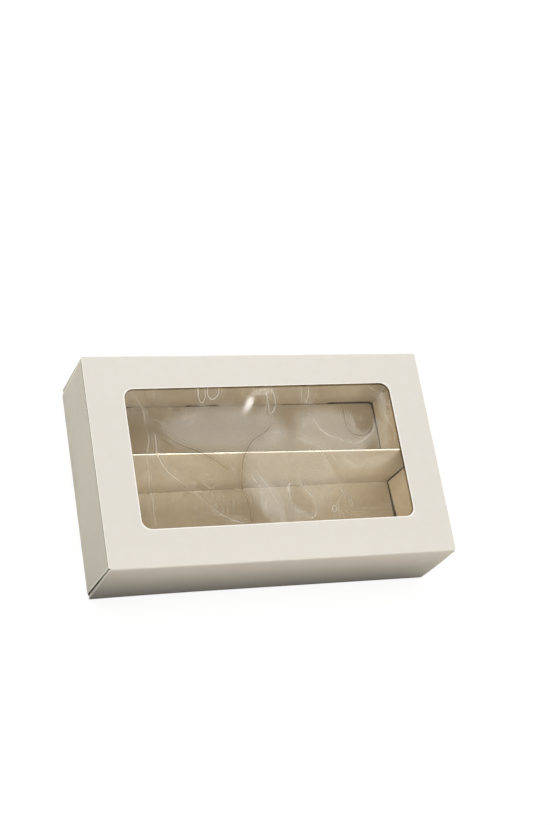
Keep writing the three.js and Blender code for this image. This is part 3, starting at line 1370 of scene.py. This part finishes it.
@dataclass
class Film:
    """Clear film glued under the window, slack enough to ripple.

    The slack grows from left to right by a steep S about slack_middle.
    """

    lowest: tuple[float, float]
    highest: tuple[float, float]
    height: float
    window: Window
    thickness: float = 0.12
    step: float = 0.62
    border: float = 9.0
    loosening: float = 6.0
    slack: tuple[float, float] = (0.4, 1.0)
    slack_middle: float = -5.0
    slack_run: float = 9.0
    glint: tuple[float, float] = (-7.3, 31.1)
    crest_turn_degrees: float = 55.0
    crest_height: float = 0.54
    crest_width: float = 6.0
    crest_length: float = 20.0

    @property
    def glint_tilt(self) -> tuple[float, float]:
        """How far the film's normal leans along X and Y where it catches the glint.

        Returns:
            Its fall in height over one millimetre along X and along Y.
        """
        near = np.array([-0.5, 0.5])
        along = self.ripple(self.glint[0] + near, self.glint[1])
        across = self.ripple(self.glint[0], self.glint[1] + near)
        return (float(along[0] - along[1]), float(across[0] - across[1]))

    def ripple(self, x: Array, y: Array) -> Array:
        """Height of the film's ripples.

        Long waves whose crests bend, stronger to the right where the film is slacker, and one short
        steep fold, a bell in both directions whose flank catches a glint.

        Args:
            x: Places along the box.
            y: Places across it.

        Returns:
            Height above the flat film.
        """
        slack = blend(*self.slack, 1 / (1 + np.exp((self.slack_middle - x) / self.slack_run)))
        bent = CRESTS.bend(x, y)
        waves = sum(wave.at(*bent) for wave in RIPPLES)
        turn = math.radians(self.crest_turn_degrees)
        away_x, away_y = x - self.glint[0], y - self.glint[1]
        along = away_x * math.cos(turn) + away_y * math.sin(turn)
        across = away_x * math.sin(turn) - away_y * math.cos(turn)
        from_crest = across / self.crest_width - math.sqrt(0.5)
        fold = self.crest_height * np.exp(-(from_crest**2) - (along / self.crest_length) ** 2)
        return slack * waves + fold

    def build(self, materials: list[bpy.types.Material]) -> bpy.types.Object:
        """Builds the film as a thin closed sheet, flat in its glued border and loose inside it.

        Args:
            materials: The film's material.

        Returns:
            The finished piece, riding on the box.
        """
        (x0, y0), (x1, y1) = self.lowest, self.highest
        x = np.linspace(x0, x1, round((x1 - x0) / self.step) + 1)
        y = np.linspace(y0, y1, round((y1 - y0) / self.step) + 1)
        across, along = np.meshgrid(y, x, indexing="ij")
        edge = np.minimum.reduce([along - x0, x1 - along, across - y0, y1 - across])
        loose = smooth((edge - self.border) / self.loosening)
        z = self.height + loose * self.ripple(along, across)
        sheet = Sheet()
        sheet.add(np.stack([along, across, z], -1), (0, 0, 1))
        bent = UNEVEN.bend(along, across)
        gaps, strengths = map(np.stack, zip(*(crease.measure(*bent) for crease in CREASES)))
        nearest = gaps.argmin(0)[None]
        values = (
            np.take_along_axis(gaps, nearest, 0),
            np.take_along_axis(strengths, nearest, 0),
            np.minimum.reduce([mark.distance(*bent) for mark in OVALS]),
            self.window.depth(along, across),
            np.clip(sum(mark.veil(*bent) for mark in VEILS), 0, 1),
        )
        attributes = dict(zip(FILM_ATTRIBUTES, values))
        piece = sheet.solid("window_film_sheet", self.thickness, materials, attributes=attributes)
        return dress(piece, "box", Slot.CLEAR_FILM, "window_film")


@dataclass
class Tray:
    """Folded tray: floor, leaning walls, end flaps and the divider folded up along its middle.

    The cuts along the back crease are given by where they start and stop and by their share of the
    widest one. A wall flares past flare_start, a share of its half length.
    """

    bottom: float
    card: float = 0.5
    middle: float = 1.3
    floor_length: float = 178.6
    floor_width: float = 95.8
    lean: float = 0.12
    wall_top: float = 44.5
    foot: float = 3.5
    ridge_shift: float = 1.45
    ridge_skew: float = -0.0107
    foot_skew: float = 0.0097
    ridge_radius: float = 0.5
    ridge_top: float = 45.6
    divider_cut: float = 0.5
    dip_start: float = 86.5
    dip_run: float = 2.0
    end_dip: float = 1.5
    front_free: float = 0.5
    front_corner: float = 2.9
    back_free: float = 0.4
    back_corner: float = 0.4
    corner_relief: float = 0.5
    flap_lift: float = 0.9
    flap_shut: float = 0.2
    flap_slit: float = 0.25
    flap_closing: tuple[float, float] = (0.4, 0.7)
    crease_slit: float = 0.75
    shut_slit: float = 0.05
    crease_cuts: tuple[tuple[float, float, float], ...] = (
        (-86, -60, 0.5), (-30, -19, 0.7), (-17, -8, 0.9), (30, 64, 0.3), (59, 90, 1.0),
    )
    cut_run: float = 2.0
    slit_height: float = 6.0
    flare_start: float = 0.97
    wall_rows: tuple[float, ...] = (0, 0.03, 0.1, 0.25, 0.4, 0.55, 0.7, 0.85, 1)
    divider_steps: int = 12
    ridge_steps: int = 8
    flat_steps: int = 8
    columns: int = 91

    @property
    def floor(self) -> float:
        """Height of the floor's upper face."""
        return self.bottom + self.card

    def _rows(self, profile: Array) -> Array:
        """Grid of a profile in (y, z) carried along X, as long as the tray is at each height."""
        reach = self.floor_length / 2 + self.lean * (profile[:, 1] - self.floor)
        return carried(profile, reach[:, None] * np.linspace(-1, 1, self.columns)[None])

    def _slope(self, side: Side, x: Array | float, z: Array) -> Array:
        """How far in front of or behind the tray's middle a slope of the divider stands.

        Args:
            side: Which slope.
            x: Places along the box.
            z: Heights.

        Returns:
            Offset along Y.
        """
        rise = np.clip((z - self.floor) / (self.ridge_top - self.floor), 0, 1)
        skew = self.foot_skew if side is Side.FRONT else 0.0
        foot = side.value * self.foot + skew * x
        ridge = self.ridge_shift + side.value * self.ridge_radius + self.ridge_skew * x
        return blend(foot, ridge, rise)

    def _add_divider(self, sheet: Sheet) -> None:
        """Adds the divider: up one slope, over the ridge and down the other, its lines askew.

        Its ridge dips at both ends, where the tucks of the end panels lie over it.

        Args:
            sheet: Sheet that takes the grid.
        """
        top = self.ridge_top - self.ridge_radius
        ridge = arc((self.ridge_shift, top), self.ridge_radius, 180, 0, self.ridge_steps)
        share = np.linspace(0, 1, self.divider_steps + 1)[:-1, None]
        up = blend(np.array([-self.foot, self.floor]), ridge[0], share)
        down = blend(np.array([self.foot, self.floor]), ridge[-1], share)[::-1]
        profile = np.concatenate([up, ridge, down]) + np.array([self.middle, 0])
        grid = self._rows(profile)
        rise = np.clip((grid[..., 2] - self.floor) / (self.ridge_top - self.floor), 0, 1)
        crest = len(up) + self.ridge_steps // 2
        foot_skew = np.where(np.arange(len(profile)) < crest, self.foot_skew, 0.0)
        grid[..., 1] += blend(foot_skew[:, None], self.ridge_skew, rise) * grid[..., 0]
        under_tuck = smooth((np.abs(grid[..., 0]) - self.dip_start) / self.dip_run)
        grid[..., 2] -= self.end_dip * under_tuck * rise
        grid[1:-1, 0, 0] += self.divider_cut
        grid[1:-1, -1, 0] -= self.divider_cut
        band = np.full(len(profile) - 1, Layer.FACE)
        # The front half of the ridge is a painted highlight and its back half painted shade
        band[len(up) : crest] = Layer.PRESSED
        band[crest : len(up) + len(ridge) - 1] = Layer.EDGE
        sheet.add(grid, (0, 0, 1), band[:, None])

    def _add_floor(self, sheet: Sheet, side: Side) -> None:
        """Adds the floor of one compartment, its corners cut back by small relief holes.

        Args:
            sheet: Sheet that takes the grid.
            side: Side of the divider that it lies on.
        """
        share = np.linspace(0, 1, self.flat_steps + 1)
        y = side.value * blend(self.foot, self.floor_width / 2, share)
        grid = self._rows(np.stack([self.middle + y, np.full_like(y, self.floor)], -1))
        if side is Side.FRONT:
            grid[..., 1] += self.foot_skew * grid[..., 0] * (1 - share)[:, None]
        for column in (0, -1):
            grid[-1, column, :2] -= self.corner_relief * np.sign(grid[-1, column, :2])
        sheet.add(grid, (0, 0, 1))

    def _crease_gap(self, x: Array) -> Array:
        """Width of the slit along the back crease: cuts of different lengths, nearly shut between.

        Args:
            x: Places along the box.

        Returns:
            Width in millimetres.
        """
        gap = np.zeros_like(x)
        for start, stop, share in self.crease_cuts:
            inside = smooth((x - start) / self.cut_run) * smooth((stop - x) / self.cut_run)
            gap = np.maximum(gap, share * inside)
        return blend(self.shut_slit, self.crease_slit, gap)

    def _add_wall(self, sheet: Sheet, side: Side) -> None:
        """Adds one long wall and its two end flaps.

        The wall stands off the floor's edge by the crease's slit at the back and meets it in front.
        Under a flap the slit narrows towards the divider.

        Args:
            sheet: Sheet that takes the grids.
            side: Which wall.
        """
        front = side is Side.FRONT
        free = self.front_free if front else self.back_free
        corner = self.front_corner if front else self.back_corner
        z = blend(self.floor, self.wall_top, np.array(self.wall_rows))
        run = self.floor_width / 2 + self.lean * (z - self.floor)
        wall = self._rows(np.stack([self.middle + side.value * run, z], -1))
        share = np.linspace(-1, 1, self.columns)
        near_end = np.clip((np.abs(share) - self.flare_start) / (1 - self.flare_start), 0, 1)
        lifted = np.ones(len(z))
        if front:
            lifted[0] = 0.0
        else:
            gap = self._crease_gap(wall[..., 0])
            wall[..., 1] += gap * np.clip(1 - (z - self.floor) / self.slit_height, 0, 1)[:, None]
            wall[0, :, 2] += np.minimum(gap[0], self.flap_lift)
        wall[..., 0] += corner * np.sign(share) * near_end * lifted[:, None]
        sheet.add(wall, (0, -side.value, 0))
        heights = z.copy()
        heights[0] = self.floor + self.flap_lift
        across = np.linspace(0, 1, self.flat_steps + 1)
        start, stop = self.flap_closing
        for end in End:
            column = 0 if end is End.LEFT else -1
            y_wall = (wall[:, column, 1] - self.middle) * side.value
            inner_x = self.floor_length / 2 + self.lean * (heights - self.floor)
            slope = self._slope(side, end.value * inner_x, heights)
            free_edge = side.value * slope + self.flap_slit
            y = blend(y_wall[:, None], free_edge[:, None], across[None])
            x = inner_x[:, None] + blend(corner, free, across)[None]
            z_grid = np.repeat(heights[:, None], len(across), 1)
            shut = smooth((across - start) / (stop - start))
            z_grid[0] = self.floor + blend(self.flap_lift, self.flap_shut, shut)
            grid = np.stack([end.value * x, self.middle + side.value * y, z_grid], -1)
            sheet.add(grid, (-end.value, 0, 0))

    def build(self, materials: list[bpy.types.Material]) -> bpy.types.Object:
        """Builds the tray as one folded sheet.

        Args:
            materials: The card's materials, in the order of the layers.

        Returns:
            The finished piece, riding on the box.
        """
        sheet = Sheet()
        self._add_divider(sheet)
        for side in Side:
            self._add_floor(sheet, side)
            self._add_wall(sheet, side)
        piece = sheet.solid("tray_sheet", self.card, materials)
        return dress(piece, "box", Slot.TRAY_CARD, "tray")


@dataclass(frozen=True)
class Light:
    """One soft rectangular light, its brightness given as radiance. Sizes are metres."""

    name: str
    place: tuple[float, float, float]
    aim: tuple[float, float, float]
    size: tuple[float, float]
    radiance: float
    colour: str = "#ffffff"

    def build(self, only: bpy.types.Object | None = None) -> bpy.types.Object:
        """Adds the light to the scene, out of the camera's sight.

        Args:
            only: The one object that the light falls on, through a collection that holds it, or
                none if it falls on all.

        Returns:
            The light.
        """
        data = bpy.data.lights.new(self.name, "AREA")
        data.shape = "RECTANGLE"
        data.size, data.size_y = self.size
        data.energy = math.pi * self.size[0] * self.size[1] * self.radiance
        data.color = linear(self.colour)[:3]
        light = new_object(self.name, data)
        light.location = self.place
        away = Vector(self.place) - Vector(self.aim)
        light.rotation_euler = away.to_track_quat("Z", "Y").to_euler()
        light.visible_camera = False
        if only is not None:
            receivers = bpy.data.collections.new(f"{self.name}_receivers")
            receivers.objects.link(only)
            light.light_linking.receiver_collection = receivers
        return light


# A long strip before the front's top edge, and a weak glow behind the back one
BOX_LIGHTS = (
    Light("front_strip", (-0.004, -0.1, 0.05), (-0.004, 0, 0.046), (0.23, 0.012), 3.0, "#fff9ee"),
    Light("back_glow", (0, 0.17, 0.13), (0, 0.055, 0.047), (0.22, 0.05), 0.6),
)
# The tray lies deep in the box, so it has lights of its own: one on the divider, two from the ends
TRAY_LIGHTS = (
    Light("divider_fill", (0.01, -0.19, 0.235), (0.01, 0.005, 0.03), (0.22, 0.09), 19.6, "#f2f5fb"),
    Light("left_fill", (-1.2, 0, 0.45), (0.06, 0, 0.03), (0.4, 0.25), 60.0, "#fcf8f0"),
    Light("right_fill", (1.2, 0.1, 0.45), (-0.06, 0, 0.03), (0.4, 0.25), 26.0, "#fcf8f0"),
)


@dataclass(frozen=True)
class Surround:
    """Studio ceiling: one wide soft light overhead, and a softbox edge that the film mirrors.

    Directions are given by how far they lean along X and Y for each unit of height. The softbox
    stands in a round patch about mirror_lean, and its edge is softbox_edge along X. Nothing comes
    from below the horizon.
    """

    colour: str = "#ffffff"
    axis: tuple[float, float, float] = (0.0, 0.29, 1.0)
    wide_degrees: tuple[float, float] = (34.0, 50.0)
    ceiling: float = 2.4
    horizon: float = 0.04
    least_height: float = 0.01
    mirror_lean: tuple[float, float] = (0.42, 0.4)
    mirror_size: tuple[float, float] = (0.17, 0.26)
    softbox_edge: tuple[float, float] = (0.385, 0.41)
    softbox: float = 0.2
    beside_softbox: float = 0.06

    def build(self) -> bpy.types.World:
        """Builds the surround.

        Returns:
            The world, whose brightness depends on the direction alone.
        """
        world = bpy.data.worlds.new("studio_surround")
        world.use_nodes = True
        tree = world.node_tree
        tree.nodes.clear()
        direction = add_node(tree, "TexCoord").outputs["Generated"]
        height = add_node(tree, "SeparateXYZ", {0: direction}).outputs[2]
        axis = Vector(self.axis).normalized()
        turned = add_node(tree, "VectorMath", {0: direction, 1: axis}, operation="DOT_PRODUCT")
        inner, outer = (math.cos(math.radians(angle)) for angle in self.wide_degrees)
        sky = add_node(
            tree,
            "MapRange",
            {
                "Value": turned.outputs["Value"],
                "From Min": outer,
                "From Max": inner,
                "To Min": self.horizon,
                "To Max": self.ceiling,
            },
            **SOFT,
        )
        held = add_node(tree, "Math", {0: height, 1: self.least_height}, operation="MAXIMUM")
        lean = add_node(
            tree, "VectorMath", {0: direction, 1: held.outputs[0]}, operation="DIVIDE"
        ).outputs[0]
        centre = (*self.mirror_lean, 1.0)
        away = add_node(tree, "VectorMath", {0: lean, 1: centre}, operation="DISTANCE")
        full, end = self.mirror_size
        mask = add_node(
            tree,
            "MapRange",
            {"Value": away.outputs["Value"], "From Min": end, "From Max": full},
            **SOFT,
        )
        start, stop = self.softbox_edge
        mirrored = add_node(
            tree,
            "MapRange",
            {
                "Value": add_node(tree, "SeparateXYZ", {0: lean}).outputs[0],
                "From Min": start,
                "From Max": stop,
                "To Min": self.beside_softbox,
                "To Max": self.softbox,
            },
            **SOFT,
        )
        level = add_node(
            tree, "Mix", {0: mask.outputs[0], 2: sky.outputs[0], 3: mirrored.outputs[0]}
        )
        above = add_node(tree, "Math", {0: height, 1: 0.0}, operation="GREATER_THAN")
        strength = add_node(
            tree, "Math", {0: level.outputs[0], 1: above.outputs[0]}, operation="MULTIPLY"
        )
        background = add_node(
            tree,
            "Background",
            {"Color": linear(self.colour), "Strength": strength.outputs[0]},
        )
        add_node(tree, "OutputWorld", {"Surface": background.outputs[0]})
        return world


@dataclass(frozen=True)
class Floor:
    """Large square floor in metres, with a rectangle left out of it, and backdrops if it is seen.

    A floor that the camera sees lights nothing, and one that lights the box isn't seen.
    """

    finish: FloorFinish
    hole: tuple[tuple[float, float], tuple[float, float]]
    height: float
    seen: bool
    size: float = 6.0
    backdrop_height: float = 4.0

    def build(self) -> bpy.types.Object:
        """Adds the floor: four quads round the hole, and four upright ones round those if seen.

        Returns:
            The floor.
        """
        half = self.size / 2
        outer = ((-half, -half), (half, half))
        corners = []
        for ((x0, y0), (x1, y1)), z in (
            (outer, self.height),
            (self.hole, self.height),
            (outer, self.backdrop_height),
        ):
            corners += [(x0, y0, z), (x1, y0, z), (x1, y1, z), (x0, y1, z)]
        sides = [(i, (i + 1) % 4) for i in range(4)]
        faces = [(i, j, j + 4, i + 4) for i, j in sides]
        if self.seen:
            faces += [(i, i + 8, j + 8, j) for i, j in sides]
        mesh = bpy.data.meshes.new(self.finish.name)
        mesh.from_pydata(corners, [], faces)
        mesh.materials.append(self.finish.material())
        floor = new_object(self.finish.name, mesh)
        floor.visible_camera = self.seen
        floor.visible_diffuse = not self.seen
        floor.visible_glossy = not self.seen
        floor.visible_shadow = False
        return floor


# The seen floor is left out under the box, so that no slit shows it from inside. The other lies a
# millimetre lower and is left out right before the box, whose front stood over something dark
FLOORS = (
    Floor(FLOOR, ((-0.0995, -0.0595), (0.0999, 0.0595)), 0.0, seen=True),
    Floor(BOUNCE, ((-0.15, -0.24), (0.1, -0.0605)), -0.001, seen=False),
)


@dataclass
class Studio:
    """Pale floor, soft lights and the camera at the photograph's angle. Sizes here are metres."""

    film: Film
    camera_place: tuple[float, float, float] = (-0.3266, -0.3010, 0.8228)
    camera_aim: tuple[float, float, float] = (0.02667, 0.04508, 0.0)
    camera_roll_degrees: float = 39.96
    camera_clip: tuple[float, float] = (0.01, 20.0)
    lens_mm: float = 71.13
    sensor_mm: float = 36.0
    glint_distance: float = 1.3
    glint_size: float = 0.05
    glint_radiance: float = 17.0

    def build(self, tray: bpy.types.Object) -> None:
        """Adds the floors, the surround, the lights and the camera.

        Args:
            tray: Piece that has lights of its own.
        """
        for floor in FLOORS:
            floor.build()
        bpy.context.scene.world = Surround().build()
        for light in BOX_LIGHTS:
            light.build()
        for light in TRAY_LIGHTS:
            light.build(only=tray)
        self._film_glint().build()
        self._add_camera()
        settings = bpy.context.scene.view_settings
        settings.view_transform = "Standard"
        settings.look = "None"

    def _film_glint(self) -> Light:
        """Small light that the film mirrors to the camera.

        It stands where the camera's line of sight goes off the film, which tilts there.

        Returns:
            The light, not built yet.
        """
        spot = Vector([value * MM for value in (*self.film.glint, self.film.height)])
        sight = (spot - Vector(self.camera_place)).normalized()
        normal = Vector((*self.film.glint_tilt, 1.0)).normalized()
        place = spot + sight.reflect(normal) * self.glint_distance
        size = (self.glint_size, self.glint_size)
        return Light("film_glint", tuple(place), tuple(spot), size, self.glint_radiance)

    def _add_camera(self) -> None:
        """Adds the camera, aimed along the photograph's line of sight and rolled as it was."""
        data = bpy.data.cameras.new("camera")
        data.lens = self.lens_mm
        data.sensor_width = self.sensor_mm
        data.clip_start, data.clip_end = self.camera_clip
        camera = new_object("camera", data)
        place, aim = Vector(self.camera_place), Vector(self.camera_aim)
        turn = (place - aim).to_track_quat("Z", "Y").to_matrix().to_4x4()
        roll = Matrix.Rotation(math.radians(self.camera_roll_degrees), 4, "Z")
        camera.matrix_world = Matrix.Translation(place) @ turn @ roll
        bpy.context.scene.camera = camera


def dress(piece: bpy.types.Object, body: str, slot: Slot, *nodes: str) -> bpy.types.Object:
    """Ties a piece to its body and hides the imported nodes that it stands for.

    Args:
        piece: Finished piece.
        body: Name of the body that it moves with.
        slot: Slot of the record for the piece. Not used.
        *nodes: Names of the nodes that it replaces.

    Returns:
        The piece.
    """
    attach(piece, body)
    if nodes:
        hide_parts(*nodes)
    return piece


def report(piece: bpy.types.Object) -> None:
    """Logs a piece's name, faces and size."""
    size = ", ".join(f"{value / MM:.1f}" for value in piece.dimensions)
    LOG.info("%s: %d faces, %s mm", piece.name, len(piece.data.polygons), size)


def main() -> None:
    """Builds every piece of the box, then the studio round it."""
    logging.basicConfig(level=logging.INFO, format="%(message)s")
    low, high = (np.array(corner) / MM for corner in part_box("carton"))
    length, width, height = high - low
    film_low, film_high = (np.array(corner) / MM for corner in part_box("window_film"))
    tray_low, _ = (np.array(corner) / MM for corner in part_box("tray"))
    panel_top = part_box("end_panel_left")[1].z / MM

    edge, reverse, warm = CUT_EDGE_AND_HIGHLIGHT.material(), REVERSE.material(), TRAY_CARD.material()
    ridge = TRAY_RIDGE_HIGHLIGHT.material()
    # Besides the faces: painted shade for slits and folds, painted highlight on edges and the ridge
    white_card = [WHITE_CARD.material(), edge, edge, PAINTED_SLIT_SHADE.material(), reverse]
    tray_card = [warm, TRAY_SHADE_EDGE.material(), ridge, warm, warm]
    warp = Warp(length / 2, width / 2, height)
    window = Window()

    report(Carton(length, width, height, window).build(white_card, warp))
    for end in End:
        report(EndPanel(end, length, width, panel_top).build(white_card, warp))
    film = Film(tuple(film_low[:2]), tuple(film_high[:2]), film_high[2], window)
    report(film.build([FilmFinish().material()]))
    tray = Tray(tray_low[2]).build(tray_card)
    report(tray)
    Studio(film).build(tray)


if __name__ == "__main__":
    main()
